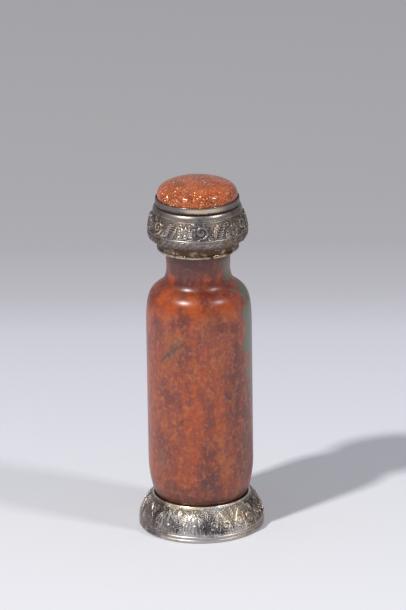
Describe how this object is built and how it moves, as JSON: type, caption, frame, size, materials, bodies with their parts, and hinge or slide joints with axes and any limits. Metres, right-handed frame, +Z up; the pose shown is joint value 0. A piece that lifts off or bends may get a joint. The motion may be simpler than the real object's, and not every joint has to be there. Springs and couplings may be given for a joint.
{
  "type": "snuff bottle",
  "caption": "Cylindrical jade snuff bottle, hollow, with a chased silver foot and a lift-off silver stopper set with a domed goldstone.",
  "frame": {"origin": "centre of the foot's standing rim, on the surface that the bottle stands on", "axes": "+Z up along the bottle's axis, -Y to the front of the picture, +X to its right"},
  "size_m": [0.03, 0.03, 0.0858],
  "materials": {
    "jade": "polished, mottled russet jade with a green streak",
    "foot_silver": "chased silver, dark in the hollows",
    "collar_gilt": "worn silver-gilt, polished",
    "cap_silver": "chased silver, dark in the hollows",
    "bezel_silver": "plain silver strip, worn bright",
    "goldstone": "polished brown glass full of copper sparkles"
  },
  "bodies": {
    "root": {"bottle": "jade", "foot_mount": "foot_silver", "stopper_collar": "collar_gilt", "stopper_cap": "cap_silver", "stone_bezel": "bezel_silver", "cabochon": "goldstone"}
  },
  "joints": []
}
